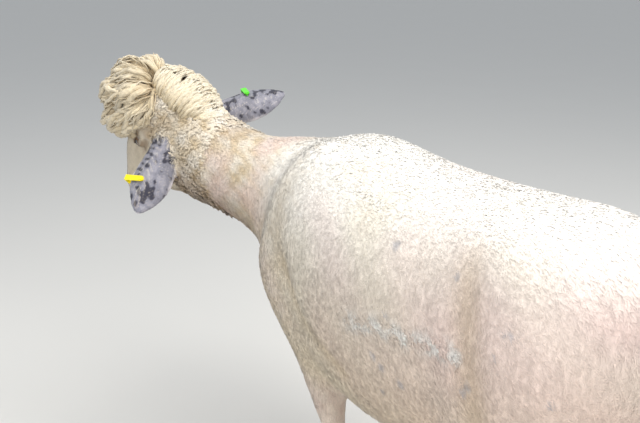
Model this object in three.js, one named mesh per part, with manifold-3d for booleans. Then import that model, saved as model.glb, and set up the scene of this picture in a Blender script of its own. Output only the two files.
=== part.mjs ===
// A shorn longwool sheep, life size, standing square with its neck turned and its nose down.
// Millimetres, +Z up. +X is forwards, +Y is the sheep's left, and the floor is at z = 0.
//
// Every part of the body is a loft: named sizes at a few stations, made smooth between them, give
// one ring of points after another. Neighbours that share a plane share a ring, and a part that
// grows out of another is cut back to it, so that thin gaps part them and nothing overlaps.

import * as THREE from "three";
import { mergeVertices } from "three/addons/utils/BufferGeometryUtils.js";
import Module from "manifold-3d";

const wasm = await Module();
wasm.setup();

const HAIR_GAP = 0.9; // under the wool that lies over the skull
const GAP = 0.3; // clear space between two parts
const LEFT = 1;
const RIGHT = -1;
const SIDE_NAMES = { [LEFT]: "left", [RIGHT]: "right" };

// ---------------------------------------------------------------- driving sizes

const BODY_SIDES = 26; // facets round the trunk and the neck
const HEAD_SIDES = 24;
const LEG_SIDES = 12;
const CLAW_SIDES = 10;

const LIFE_SCALE = 0.93; // from the stations below, a ewe of 790 mm at the withers, to this smaller one
const HEAD_SCALE = 1.075; // and her head is large for her body
const HEAD_PLACE = new THREE.Vector3(645, 182, 780); // the middle of the skull between the ears
const HEAD_TURN = { yaw: 13, nod: 53, tilt: -20 }; // degrees: left is +, nose down is +, left ear down is -

const EYE = { x: 81, y: 51, z: 20, radius: 14 };
const EAR_LENGTH = 178;
const EAR_RIM = 0.3; // how much of its thickness an ear loses towards its edges
const TAG = { width: 11, leg: 38, thick: 2.2, clear: 6.2, pin: 2.2, stud: 4, studHeight: 1.4 };
const FORELOCK = { at: [55, 4, 87], half: [72, 84, 69], locks: 9, ridge: 0.035, sweep: 0.1, hang: 0.15 };
const POLL_WOOL = { at: [-32, 0, -13], half: [48, 67, 90] };
const FOOT = { behind: 30, long: 62 }; // from the middle of the coronet to the heel, and heel to toe
const CORONET = { heel: 30, toe: 50 }; // how high the horn of a hoof reaches behind and in front
const CLAW = { length: 64, behind: 27, width: 27, cleft: 3.5, slope: 30, bulge: 3, narrowing: 0.34 };
const DEWCLAW = { half: [9, 7, 12], behind: 29, apart: 13, height: 92 };

// ---------------------------------------------------------------- materials

const material = (color, roughness) => new THREE.MeshStandardMaterial({ color, roughness, metalness: 0 });
const shornWool = material(0xe6dccb, 0.95);
const faceHair = material(0xd9d2c6, 0.8);
const earSkin = material(0x9d98a3, 0.75);
const longWool = material(0xd8c79f, 0.95);
const eyeGloss = material(0x2a1d12, 0.15);
const hoofHorn = material(0x4a4038, 0.55);
const yellowTag = material(0xf2de17, 0.4);
const greenTag = material(0x66dd33, 0.4);

// ---------------------------------------------------------------- shape tools

// Sizes named at a few stations, as a smooth function of their first name.
function between(stations) {
  const names = Object.keys(stations[0]);
  const keys = stations.map((station) => station[names[0]]);
  const values = stations.flatMap((station) => names.map((name) => station[name]));
  const curve = new THREE.CubicInterpolant(keys, values, names.length);
  return (key) => Object.fromEntries(Array.from(curve.evaluate(key), (value, i) => [names[i], value]));
}

const angles = (sides) => Array.from({ length: sides }, (_, i) => (2 * Math.PI * i) / sides);
const steps = (count, from, to) =>
  Array.from({ length: count + 1 }, (_, i) => from + ((to - from) * i) / count);

// A point on a rounded ring: half-width w, heights up and down from its middle, and how square it is.
function roundedPoint(angle, { w, up, down, square = 2 }) {
  const across = Math.cos(angle);
  const along = Math.sin(angle);
  const bend = (value) => Math.sign(value) * Math.abs(value) ** (2 / square);
  return [w * bend(across), (along > 0 ? up : down) * bend(along)];
}

// A closed body through rings that all have the same number of points.
function loft(rings) {
  const sides = rings[0].length;
  const middle = (ring) => ring.reduce((sum, p) => sum.add(p), new THREE.Vector3()).divideScalar(sides);
  const points = [...rings.flat(), middle(rings[0]), middle(rings.at(-1))];
  const first = rings.length * sides;
  const faces = [];
  for (let i = 0; i < sides; i++) {
    const next = (i + 1) % sides;
    for (let r = 0; r + 1 < rings.length; r++) {
      const [a, b, c, d] = [r * sides + i, r * sides + next, (r + 1) * sides + next, (r + 1) * sides + i];
      faces.push(a, b, c, a, c, d);
    }
    faces.push(first, next, i);
    faces.push(first + 1, first - sides + i, first - sides + next);
  }
  const geometry = new THREE.BufferGeometry().setFromPoints(points);
  geometry.setIndex(faces);
  return facingOut(geometry);
}

// The same body with its faces turned to point out.
function facingOut(geometry) {
  const p = geometry.getAttribute("position");
  const faces = geometry.index.array;
  const [a, b, c] = [new THREE.Vector3(), new THREE.Vector3(), new THREE.Vector3()];
  let volume = 0;
  for (let i = 0; i < faces.length; i += 3) {
    a.fromBufferAttribute(p, faces[i]);
    b.fromBufferAttribute(p, faces[i + 1]);
    c.fromBufferAttribute(p, faces[i + 2]);
    volume += a.dot(b.cross(c));
  }
  if (volume < 0) {
    for (let i = 0; i < faces.length; i += 3) {
      [faces[i + 1], faces[i + 2]] = [faces[i + 2], faces[i + 1]];
    }
  }
  return geometry;
}

function solidOf(geometry) {
  const bare = new THREE.BufferGeometry();
  bare.setAttribute("position", geometry.getAttribute("position"));
  bare.setIndex(geometry.index);
  const merged = mergeVertices(bare, 1e-3);
  const vertProperties = new Float32Array(merged.getAttribute("position").array);
  return new wasm.Manifold(
    new wasm.Mesh({ numProp: 3, vertProperties, triVerts: new Uint32Array(merged.index.array) }),
  );
}

// The largest piece of a solid, as a geometry: a cut can leave crumbs beside it.
function geometryOf(solid) {
  const pieces = solid.decompose();
  const whole = pieces.reduce((best, piece) => (piece.volume() > best.volume() ? piece : best));
  const { vertProperties, triVerts } = whole.getMesh();
  const geometry = new THREE.BufferGeometry();
  geometry.setAttribute("position", new THREE.BufferAttribute(vertProperties, 3));
  geometry.setIndex(new THREE.BufferAttribute(triVerts, 1));
  return geometry;
}

// A geometry less others, all in the same frame.
const cut = (geometry, ...others) =>
  geometryOf(others.reduce((rest, other) => rest.subtract(solidOf(other)), solidOf(geometry)));

function named(name, geometry, look) {
  const mesh = new THREE.Mesh(geometry, look);
  mesh.name = name;
  return mesh;
}

// A soft bump at a place: its height, and how far it reaches along each axis.
function bump(p, at, height, reach) {
  const away = new THREE.Vector3(...p).sub(new THREE.Vector3(...at)).divide(new THREE.Vector3(...reach));
  return height * Math.exp(-away.lengthSq());
}

// ---------------------------------------------------------------- the head, in its own frame

// x runs from between the ears along the face, y is the sheep's left and z is out of the forehead.
const headSizes = between([
  { x: -52, w: 22, up: 20, down: 26, square: 2.0 },
  { x: -46, w: 40, up: 36, down: 46, square: 2.0 },
  { x: -28, w: 58, up: 54, down: 72, square: 2.0 },
  { x: 0, w: 66, up: 64, down: 90, square: 2.1 },
  { x: 40, w: 67, up: 64, down: 92, square: 2.2 },
  { x: 80, w: 62, up: 67, down: 82, square: 2.3 },
  { x: 112, w: 52, up: 71, down: 70, square: 2.15 },
  { x: 150, w: 43, up: 67, down: 60, square: 2.15 },
  { x: 190, w: 37, up: 51, down: 53, square: 2.2 },
  { x: 222, w: 37, up: 33, down: 47, square: 2.3 },
  { x: 242, w: 31, up: 13, down: 38, square: 2.2 },
  { x: 254, w: 19, up: 2, down: 26, square: 2.0 },
]);

// Brows over the eyes, cheeks, the jaw's angle and the wings of the nose.
function headRelief(p) {
  const q = [p.x, Math.abs(p.y), p.z];
  return (
    bump(q, [77, 55, 37], 9, [22, 16, 14]) +
    bump(q, [106, 46, 6], -3, [16, 14, 14]) +
    bump(q, [38, 64, -44], 5, [38, 24, 30]) +
    bump(q, [232, 24, 6], 3.5, [12, 10, 12]) +
    bump(q, [205, 34, -40], 3, [26, 18, 14])
  );
}

const headPlaces = [
  -52, -46, -34, -14, 12, 34, 52, 66, 78, 90, 104, 122, 144, 168, 192, 214, 234, 254,
];

// The head grown by a margin all over.
function headBody(grow) {
  return loft(
    headPlaces.map((x) => {
      const sizes = headSizes(x);
      return angles(HEAD_SIDES).map((angle) => {
        const [y, z] = roundedPoint(angle, sizes);
        const point = new THREE.Vector3(x, y, z);
        const out = new THREE.Vector3(0, y, z).normalize();
        return point.addScaledVector(out, headRelief(point) + grow);
      });
    }),
  );
}

const eyeBall = (side, grow) => {
  const ball = new THREE.SphereGeometry(EYE.radius + grow, 10, 7);
  return ball.translate(EYE.x, side * EYE.y, EYE.z);
};

// ---------------------------------------------------------------- ears

const earSizes = between([
  { t: 0, width: 44, wrap: 118, thick: 9 },
  { t: 0.15, width: 56, wrap: 104, thick: 6.5 },
  { t: 0.35, width: 70, wrap: 78, thick: 6.2 },
  { t: 0.6, width: 80, wrap: 50, thick: 6 },
  { t: 0.8, width: 60, wrap: 45, thick: 5.4 },
  { t: 0.93, width: 32, wrap: 40, thick: 4.8 },
  { t: 1, width: 9, wrap: 36, thick: 3.8 },
]);

const EARS = {
  [LEFT]: { root: [15, 54, -32], along: [0.42, 0.77, -0.36], back: [-0.79, 0.56, -0.03], droop: 8 },
  [RIGHT]: { root: [15, -54, -32], along: [-0.45, -0.72, -0.53], back: [-1.03, 0.34, 0.18], droop: 6 },
};

// An ear is a leaf, cupped round its length. Its back, the outer side, looks the way that back says.
function earFrame(side) {
  const { root, along, back } = EARS[side];
  const length = new THREE.Vector3(...along).normalize();
  const outer = new THREE.Vector3(...back);
  outer.addScaledVector(length, -outer.dot(length)).normalize();
  const width = new THREE.Vector3().crossVectors(outer, length);
  return { root: new THREE.Vector3(...root), length, outer, width };
}

// A point of an ear: t along it, across it from -1 to 1, and how far out of its middle layer.
function earPoint(side, t, across, off) {
  const { root, length, outer, width } = earFrame(side);
  const { width: wide, wrap } = earSizes(t);
  const half = THREE.MathUtils.degToRad(wrap);
  const radius = wide / 2 / Math.sin(Math.min(half, Math.PI / 2));
  const angle = across * half;
  const droop = EARS[side].droop * t * t;
  return root
    .clone()
    .addScaledVector(length, EAR_LENGTH * t)
    .addScaledVector(width, (radius + off) * Math.sin(angle))
    .addScaledVector(outer, (radius + off) * Math.cos(angle) - radius - droop);
}

function earBody(side) {
  const across = steps(6, -1, 1);
  return loft(
    [0, 0.08, 0.18, 0.3, 0.43, 0.56, 0.68, 0.79, 0.88, 0.95, 1].map((t) => {
      const half = (a) => (earSizes(t).thick / 2) * (1 - EAR_RIM * a * a);
      const outside = across.map((a) => earPoint(side, t, a, half(a)));
      const inside = across.map((a) => earPoint(side, t, a, -half(a)));
      return [...outside, ...inside.reverse()];
    }),
  );
}

// ---------------------------------------------------------------- ear tags

const rod = (radius, length) => new THREE.CylinderGeometry(radius, radius, length, 8).rotateX(Math.PI / 2);

// A folded strap tag: two legs on either side of the ear's edge, with a stud through both.
function earTag(side, { t, across, toEdge }) {
  const middle = earPoint(side, t, across, 0);
  const edge = earPoint(side, t, toEdge, 0).sub(middle).normalize();
  const out = earPoint(side, t, across, 1).sub(middle);
  out.addScaledVector(edge, -out.dot(edge)).normalize();
  const along = new THREE.Vector3().crossVectors(out, edge);
  const place = new THREE.Matrix4().makeBasis(edge, along, out).setPosition(middle);

  const outline = new THREE.Shape();
  const half = TAG.width / 2;
  outline.absarc(0, 0, half, Math.PI / 2, (3 * Math.PI) / 2);
  outline.lineTo(TAG.leg, -half);
  outline.lineTo(TAG.leg, half);
  const strap = { depth: TAG.thick, bevelEnabled: false, curveSegments: 3 };
  const leg = (from) => new THREE.ExtrudeGeometry(outline, strap).translate(0, 0, from);
  const fold = new THREE.BoxGeometry(TAG.thick, TAG.width, 2 * (TAG.clear + TAG.thick));
  fold.translate(TAG.leg, 0, 0);
  const stud = rod(TAG.stud, TAG.studHeight).translate(0, 0, TAG.clear + TAG.thick + TAG.studHeight / 3);
  const pin = rod(TAG.pin, 2 * TAG.clear + TAG.thick);
  const pieces = [leg(TAG.clear), leg(-TAG.clear - TAG.thick), fold, pin, stud].map(solidOf);
  const body = geometryOf(pieces.reduce((all, piece) => all.add(piece))).applyMatrix4(place);
  return { body, hole: rod(TAG.pin + GAP, 4 * TAG.clear).applyMatrix4(place) };
}

// ---------------------------------------------------------------- long wool on the head

// The mop that hangs forwards from the poll, ridged where its locks lie side by side.
function forelockBody(grow) {
  const mop = new THREE.SphereGeometry(1, 18, 11);
  const p = mop.getAttribute("position");
  const half = new THREE.Vector3(...FORELOCK.half).addScalar(grow);
  const point = new THREE.Vector3();
  for (let i = 0; i < p.count; i++) {
    point.fromBufferAttribute(p, i);
    const round = Math.atan2(point.y, point.z);
    const ridges = FORELOCK.ridge * Math.sin(FORELOCK.locks * round) * (1 - point.x * point.x);
    point.multiply(half).multiplyScalar(1 + ridges);
    p.setXYZ(i, point.x - FORELOCK.sweep * point.z, point.y, point.z - FORELOCK.hang * point.x);
  }
  return mop.translate(...FORELOCK.at);
}

// The shorter wool that stands round the poll and the cheeks, deepest on the nape.
const pollWoolBody = () =>
  new THREE.SphereGeometry(1, 15, 10).scale(...POLL_WOOL.half).translate(...POLL_WOOL.at);

// ---------------------------------------------------------------- building the head

function buildHead(neck) {
  const head = new THREE.Group();
  head.position.copy(HEAD_PLACE);
  const { yaw, nod, tilt } = HEAD_TURN;
  const turn = [tilt, nod, yaw].map(THREE.MathUtils.degToRad);
  head.rotation.set(...turn, "ZYX");
  head.scale.setScalar(HEAD_SCALE);
  head.updateMatrix();

  const skull = headBody(GAP);
  const collar = neck.clone().applyMatrix4(head.matrix.clone().invert());
  const tags = {
    [LEFT]: earTag(LEFT, { t: 0.62, across: -0.3, toEdge: -1 }),
    [RIGHT]: earTag(RIGHT, { t: 0.56, across: 0.3, toEdge: 1 }),
  };
  const ears = {};
  for (const side of [LEFT, RIGHT]) {
    const name = SIDE_NAMES[side];
    ears[side] = cut(earBody(side), headBody(2 * GAP), collar, tags[side].hole);
    head.add(named(`ear_${name}`, ears[side], earSkin));
    head.add(named(`eye_${name}`, eyeBall(side, 0), eyeGloss));
    head.add(named(`ear_tag_${name}`, tags[side].body, side === LEFT ? yellowTag : greenTag));
  }
  head.add(named("head", cut(headBody(0), eyeBall(LEFT, GAP), eyeBall(RIGHT, GAP)), faceHair));
  const features = [LEFT, RIGHT].flatMap((side) => [eyeBall(side, GAP), earBody(side)]);
  const around = [headBody(HAIR_GAP), ...features];
  head.add(named("forelock", cut(forelockBody(0), ...around), longWool));
  head.add(named("poll_wool", cut(pollWoolBody(), ...around, collar, forelockBody(GAP)), longWool));
  return { head, skull };
}

// ---------------------------------------------------------------- trunk and neck

// s counts stations from the rump. Each ring stands at (x, y, z), leans back by lean degrees and
// turns to the left by turn degrees.
const trunkStations = [
  { s: 0, x: -500, y: 0, z: 652, lean: 0, turn: 0, w: 46, up: 42, down: 64, square: 2 },
  { s: 1, x: -484, y: 0, z: 646, lean: 0, turn: 0, w: 94, up: 88, down: 124, square: 2.1 },
  { s: 2, x: -445, y: 0, z: 631, lean: 0, turn: 0, w: 138, up: 137, down: 168, square: 2.2 },
  { s: 3, x: -365, y: 0, z: 607, lean: 0, turn: 0, w: 170, up: 174, down: 198, square: 2.4 },
  { s: 4, x: -245, y: 0, z: 583, lean: 0, turn: 0, w: 185, up: 195, down: 216, square: 2.4 },
  { s: 5, x: -105, y: 0, z: 569, lean: 0, turn: 0, w: 200, up: 203, down: 258, square: 2.25 },
  { s: 6, x: 30, y: 0, z: 566, lean: 0, turn: 0, w: 202, up: 206, down: 272, square: 2.2 },
  { s: 7, x: 150, y: 0, z: 572, lean: 2, turn: 0, w: 193, up: 209, down: 256, square: 2.25 },
  { s: 8, x: 240, y: 0, z: 584, lean: 8, turn: 0, w: 178, up: 198, down: 226, square: 2.35 },
  { s: 9, x: 315, y: 0, z: 605, lean: 16, turn: 3, w: 159, up: 172, down: 208, square: 2.4 },
  { s: 10, x: 374, y: 6, z: 628, lean: 24, turn: 13, w: 124, up: 136, down: 170, square: 2.25 },
];

// The numbers of a station without its place in the row.
function ringOf({ s, ...ring }) {
  return ring;
}

function bodyRing(sizes, grow, shift = 0) {
  const { x, y, z, lean, turn } = sizes;
  const frame = new THREE.Matrix4().makeRotationFromEuler(
    new THREE.Euler(0, -THREE.MathUtils.degToRad(lean), THREE.MathUtils.degToRad(turn), "ZYX"),
  );
  frame.setPosition(x, y, z);
  return angles(BODY_SIDES).map((angle) => {
    const [across, above] = roundedPoint(angle, sizes);
    const out = new THREE.Vector3(0, across, above).normalize();
    const point = new THREE.Vector3(0, across, above).applyMatrix4(frame);
    const relief = trunkRelief(point);
    return new THREE.Vector3(shift, across, above).addScaledVector(out, relief + grow).applyMatrix4(frame);
  });
}

// Hip bones, the hollow of the flank, the shoulder blades and the keel of the brisket.
function trunkRelief(p) {
  const q = [p.x, Math.abs(p.y), p.z];
  return (
    bump(q, [-300, 120, 745], 9, [55, 45, 45]) +
    bump(q, [-205, 165, 680], -8, [60, 60, 60]) +
    bump(q, [235, 70, 780], 7, [70, 45, 60]) +
    bump(q, [330, 0, 400], 10, [90, 60, 50])
  );
}

const trunkPlaces = [...steps(6, 0, 3), ...steps(9, 3.4, 7), ...steps(6, 7.5, 10)];

function trunkBody(grow) {
  const sizes = between(trunkStations);
  return loft(trunkPlaces.map((s) => bodyRing(sizes(s), grow)));
}

// The neck runs from the trunk's last ring into the back of the head, turning to the left.
const neckStations = [
  { s: 0, ...ringOf(trunkStations.at(-1)) },
  { s: 1, x: 438, y: 46, z: 634, lean: 14, turn: 33, w: 106, up: 116, down: 124, square: 2.1 },
  { s: 2, x: 506, y: 92, z: 656, lean: 24, turn: 33, w: 90, up: 95, down: 96, square: 2 },
  { s: 3, x: 576, y: 140, z: 697, lean: 27, turn: 28, w: 80, up: 90, down: 118, square: 2 },
  { s: 4, x: 622, y: 160, z: 728, lean: 27, turn: 22, w: 64, up: 78, down: 150, square: 2 },
  { s: 5, x: 660, y: 174, z: 744, lean: 20, turn: 16, w: 38, up: 44, down: 84, square: 2 },
];

function neckBody(grow) {
  const sizes = between(neckStations);
  const places = [0, 0.4, 0.8, 1.2, 1.6, 2, 2.4, 2.8, 3.2, 3.6, 4, 4.5, 5];
  return loft(places.map((s) => bodyRing(sizes(s), grow, GAP)));
}

function tailBody() {
  const sizes = between([
    { z: 745, x: -430, w: 20, up: 14, down: 14 },
    { z: 715, x: -478, w: 30, up: 24, down: 20 },
    { z: 680, x: -500, w: 32, up: 20, down: 18 },
    { z: 640, x: -505, w: 28, up: 15, down: 15 },
    { z: 608, x: -503, w: 17, up: 9, down: 9 },
    { z: 600, x: -502, w: 8, up: 4, down: 4 },
  ].reverse());
  return loft(
    [745, 730, 712, 690, 665, 640, 620, 608, 600].map((height) => {
      const size = sizes(height);
      return angles(LEG_SIDES).map((angle) => {
        const [y, x] = roundedPoint(angle, size);
        return new THREE.Vector3(size.x - x, y, height);
      });
    }),
  );
}

// ---------------------------------------------------------------- legs

// Heights, places and half-sizes of level slices: long is along the body and wide is across it.
const FORELEG = {
  joint: 268,
  coronet: 50,
  stations: [
    { z: 715, x: 190, y: 96, long: 40, wide: 22 },
    { z: 660, x: 202, y: 112, long: 84, wide: 44 },
    { z: 590, x: 226, y: 116, long: 116, wide: 58 },
    { z: 520, x: 246, y: 116, long: 126, wide: 66 },
    { z: 460, x: 244, y: 114, long: 112, wide: 62 },
    { z: 415, x: 232, y: 110, long: 92, wide: 58 },
    { z: 370, x: 226, y: 108, long: 71, wide: 50 },
    { z: 325, x: 226, y: 106, long: 52, wide: 41 },
    { z: 290, x: 230, y: 105, long: 36, wide: 33 },
    { z: 255, x: 227, y: 105, long: 29, wide: 27 },
    { z: 205, x: 223, y: 105, long: 23, wide: 21 },
    { z: 150, x: 221, y: 105, long: 23, wide: 21 },
    { z: 115, x: 222, y: 105, long: 30, wide: 27 },
    { z: 84, x: 232, y: 105, long: 27, wide: 26 },
    { z: 56, x: 243, y: 105, long: 31, wide: 29 },
    { z: 36, x: 246, y: 105, long: 32, wide: 30 },
  ],
  slices: [715, 650, 600, 550, 500, 460, 425, 390, 350, 315, 290, 268, 240, 200, 150, 130, 112, 95, 78, 60],
};

const HINDLEG = {
  joint: 282,
  coronet: 50,
  stations: [
    { z: 720, x: -330, y: 92, long: 60, wide: 30 },
    { z: 660, x: -335, y: 108, long: 112, wide: 54 },
    { z: 590, x: -330, y: 114, long: 132, wide: 68 },
    { z: 530, x: -322, y: 116, long: 128, wide: 70 },
    { z: 470, x: -326, y: 114, long: 108, wide: 62 },
    { z: 420, x: -348, y: 110, long: 82, wide: 50 },
    { z: 375, x: -378, y: 106, long: 60, wide: 38 },
    { z: 335, x: -406, y: 103, long: 47, wide: 31 },
    { z: 305, x: -424, y: 102, long: 43, wide: 28 },
    { z: 275, x: -424, y: 102, long: 36, wide: 27 },
    { z: 225, x: -414, y: 102, long: 25, wide: 22 },
    { z: 155, x: -408, y: 103, long: 24, wide: 22 },
    { z: 118, x: -405, y: 103, long: 30, wide: 27 },
    { z: 84, x: -394, y: 103, long: 27, wide: 26 },
    { z: 56, x: -384, y: 103, long: 31, wide: 29 },
    { z: 36, x: -381, y: 103, long: 32, wide: 30 },
  ],
  slices: [720, 650, 600, 550, 500, 455, 420, 385, 350, 322, 300, 282, 254, 215, 155, 132, 114, 96, 78, 60],
};

// How far each foot stands ahead of or behind a square stance, in or out.
const LEGS = [
  { name: "foreleg_left", side: LEFT, form: FORELEG, forward: -150, apart: -10 },
  { name: "foreleg_right", side: RIGHT, form: FORELEG, forward: -60, apart: -10 },
  { name: "hindleg_left", side: LEFT, form: HINDLEG, forward: -10, apart: 2 },
  { name: "hindleg_right", side: RIGHT, form: HINDLEG, forward: -45, apart: 0 },
];
const SWING_FROM = 600; // a leg swings from this height down

const swing = (leg, z) => Math.max(0, 1 - z / SWING_FROM);

// The slanting top of a hoof: its height at a place x ahead of the middle of the coronet.
const coronetHeight = (x) =>
  CORONET.heel + (CORONET.toe - CORONET.heel) * ((x + FOOT.behind) / FOOT.long);

function legSlice(leg, z) {
  const size = between([...leg.form.stations].reverse())(z);
  const middleX = size.x + swing(leg, z) * leg.forward;
  const middleY = leg.side * (size.y + swing(leg, z) * leg.apart);
  return { ...size, x: middleX, y: middleY };
}

function legPart(leg, heights) {
  const last = leg.form.slices.at(-1);
  return loft(
    heights.map((z) => {
      const size = legSlice(leg, z);
      return angles(LEG_SIDES).map((angle) => {
        const [x, y] = roundedPoint(angle, { w: size.long, up: size.wide, down: size.wide, square: 2.1 });
        const height = z === last ? coronetHeight(x) + GAP : z;
        return new THREE.Vector3(size.x + x, size.y + y, height);
      });
    }),
  );
}

// One claw of a hoof, from its flat sole up to the coronet, beside the cleft.
function clawBody(leg, half) {
  const foot = legSlice(leg, leg.form.slices.at(-1));
  const inner = CLAW.cleft / 2;
  return loft(
    [0, 0.25, 0.55, 0.85, 1].map((t) => {
      const heel = -CLAW.behind - CLAW.bulge * Math.sin(Math.PI * t);
      const toe = CLAW.length - CLAW.behind - CLAW.slope * t;
      const wide = CLAW.width * (1 - 0.06 * t);
      return angles(CLAW_SIDES).map((angle) => {
        const [along, across] = roundedPoint(angle, { w: 1, up: 1, down: 1, square: 2.7 });
        const x = heel + ((toe - heel) * (along + 1)) / 2;
        const narrowing = 1 - CLAW.narrowing * Math.max(0, along) ** 2;
        const y = inner + (wide / 2) * (1 + across) * narrowing;
        const z = t * Math.min(coronetHeight(x), CORONET.toe);
        return new THREE.Vector3(foot.x + x, foot.y + half * y, z);
      });
    }),
  );
}

// The small claws behind the fetlock, or the sockets they sit in.
function dewclawBody(leg, half, grow) {
  const fetlock = legSlice(leg, DEWCLAW.height);
  const horn = new THREE.SphereGeometry(1, 6, 4).scale(...DEWCLAW.half.map((size) => size + grow));
  return horn.translate(fetlock.x - DEWCLAW.behind, fetlock.y + half * DEWCLAW.apart, DEWCLAW.height);
}

function buildLeg(leg, trunk, neck) {
  const { slices, joint } = leg.form;
  const upperSlices = slices.filter((z) => z >= joint);
  const lowerSlices = slices.filter((z) => z <= joint).map((z) => (z === joint ? joint - GAP : z));
  const group = new THREE.Group();
  const sockets = [LEFT, RIGHT].map((half) => dewclawBody(leg, half, 2 * GAP));
  group.add(named(`${leg.name}_upper`, cut(legPart(leg, upperSlices), trunk, neck), shornWool));
  group.add(named(`${leg.name}_lower`, cut(legPart(leg, lowerSlices), ...sockets), faceHair));
  for (const half of [LEFT, RIGHT]) {
    const place = half === leg.side ? "outer" : "inner";
    group.add(named(`hoof_${leg.name}_${place}`, clawBody(leg, half), hoofHorn));
    group.add(named(`dewclaw_${leg.name}_${place}`, dewclawBody(leg, half, 0), hoofHorn));
  }
  return group;
}

// ---------------------------------------------------------------- the whole sheep

const sheep = new THREE.Group();
const trunkGrown = trunkBody(GAP);
const neckGrown = neckBody(GAP);
const { head, skull } = buildHead(neckGrown);
sheep.add(head);

sheep.add(named("trunk", trunkBody(0), shornWool));
sheep.add(named("neck", cut(neckBody(0), skull.applyMatrix4(head.matrix)), shornWool));
sheep.add(named("tail", cut(tailBody(), trunkGrown), shornWool));
for (const leg of LEGS) {
  sheep.add(buildLeg(leg, trunkGrown, neckGrown));
}

sheep.scale.setScalar(LIFE_SCALE);
const room = new THREE.Box3().setFromObject(sheep, true);
const stand = room.getCenter(new THREE.Vector3());
sheep.position.set(-stand.x, -stand.y, -room.min.z);

export default sheep;
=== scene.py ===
import math

import bmesh
import bpy
import numpy as np
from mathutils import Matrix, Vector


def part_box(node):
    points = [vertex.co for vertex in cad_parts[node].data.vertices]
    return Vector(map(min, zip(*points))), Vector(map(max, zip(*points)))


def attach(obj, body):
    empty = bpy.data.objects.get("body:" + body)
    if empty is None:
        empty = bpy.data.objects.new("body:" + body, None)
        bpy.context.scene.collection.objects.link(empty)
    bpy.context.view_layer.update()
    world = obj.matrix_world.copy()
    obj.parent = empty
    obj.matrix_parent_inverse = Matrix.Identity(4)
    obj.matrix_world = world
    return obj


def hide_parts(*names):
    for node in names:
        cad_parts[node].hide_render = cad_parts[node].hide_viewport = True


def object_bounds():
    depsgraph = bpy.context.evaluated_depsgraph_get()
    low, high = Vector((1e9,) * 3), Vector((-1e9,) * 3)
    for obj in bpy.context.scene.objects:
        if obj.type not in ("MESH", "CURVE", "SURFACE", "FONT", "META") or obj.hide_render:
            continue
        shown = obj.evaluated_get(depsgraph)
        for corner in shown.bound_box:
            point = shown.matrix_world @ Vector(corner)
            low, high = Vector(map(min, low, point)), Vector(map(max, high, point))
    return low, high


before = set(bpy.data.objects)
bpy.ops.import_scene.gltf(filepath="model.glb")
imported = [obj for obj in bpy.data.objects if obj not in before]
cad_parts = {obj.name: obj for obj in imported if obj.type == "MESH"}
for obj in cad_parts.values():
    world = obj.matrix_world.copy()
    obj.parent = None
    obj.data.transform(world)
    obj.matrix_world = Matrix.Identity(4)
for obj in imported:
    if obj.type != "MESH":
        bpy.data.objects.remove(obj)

import openvdb

CAD_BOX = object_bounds()
RNG = np.random.default_rng(11)
MM = 0.001

# -------- sizes
BODY_STEP = 7.0 * MM  # spacing of the grid that the trunk and legs are smoothed on
HEAD_STEP = 2.4 * MM  # and of the finer one for the head and ears
CLAW_STEP = 1.5 * MM
BODY_BAND = 8  # how many steps deep each grid knows its distances
HEAD_BAND = 9
CLAW_BAND = 4
PROUD = 1.0 * MM  # how far the nodes are grown so that the gaps between them close
CREASE = 26 * MM  # how widely two parts of the body flow into each other
EAR_CREASE = 9 * MM

# How deep the skin lies inside each part's solid, which reaches out to the tips of the coat.
DEPTH = {"trunk": 4.5 * MM, "neck": 6.5 * MM, "leg": 1.5 * MM, "head": 1.2 * MM, "ear": 0.3 * MM}

HEAD_TURN = (math.radians(13), math.radians(53), math.radians(-20))  # yaw, nod, tilt
EYE_AT = (81 * MM, 20 * MM)  # forward and up from the head's own origin
EYE_RADIUS = 13.6 * MM
LID = {"radius": 16.4 * MM, "long": 11.5 * MM, "high": 4.4 * MM}
CUT_X = 0.335  # where the two grids meet, across the neck
CUT_GAP = 2.0 * MM

MOP_AT = np.array([41, 14, 73]) * MM  # middle of the mop of the forelock, in the head's frame
MOP_HALF = np.array([84, 88, 75]) * MM
CREST_AT = np.array([-30, 0, -12]) * MM  # the crest of standing wool on the poll and nape
CREST_HALF = np.array([45, 62, 84]) * MM
CREST_DEEP = 13 * MM  # how far the locks of the crest stand out of the dense wool under them
MOP_SWEEP, MOP_HANG = 0.1, 0.15  # how much it leans back as it rises, and drops as it comes forwards

EAR_GRID = []  # the head's grid and the distances to the ears, filled in by head_part
SKIN_GRID = []  # the same grid and the distances to the skin
MIDDLE_Y = float(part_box("tail")[0][1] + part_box("tail")[1][1]) / 2  # the body's own plane of symmetry

# Lines on the left side of the trunk, as points in metres; the right side has the same ones.
# Creases are each a line, a depth and a width: the flank, the elbow and the shoulder; coat_colour also paints
# shade along them over that width.
CREASES = [
    ([(-0.395, 0.09, 0.68), (-0.42, 0.10, 0.60), (-0.45, 0.11, 0.50), (-0.46, 0.09, 0.40)], 6 * MM, 26 * MM),
    ([(0.03, 0.11, 0.53), (-0.03, 0.12, 0.458), (-0.09, 0.118, 0.43), (-0.15, 0.11, 0.41)], 7 * MM, 15 * MM),
    ([(0.10, 0.10, 0.70), (0.07, 0.12, 0.60), (0.05, 0.12, 0.52)], 2 * MM, 30 * MM),
]
# Ridges are where the shears left the fleece longer, each a line and a width.
RIDGES = [
    ([(-0.19, 0.13, 0.515), (-0.25, 0.127, 0.532), (-0.31, 0.121, 0.537), (-0.41, 0.109, 0.549)], 9 * MM),
    ([(-0.03, 0.06, 0.69), (-0.10, 0.06, 0.687), (-0.18, 0.06, 0.684)], 6 * MM),
    ([(0.02, 0.10, 0.645), (-0.01, 0.106, 0.625)], 4 * MM),
]
RIDGE_HEIGHT = 2.2 * MM

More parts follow.
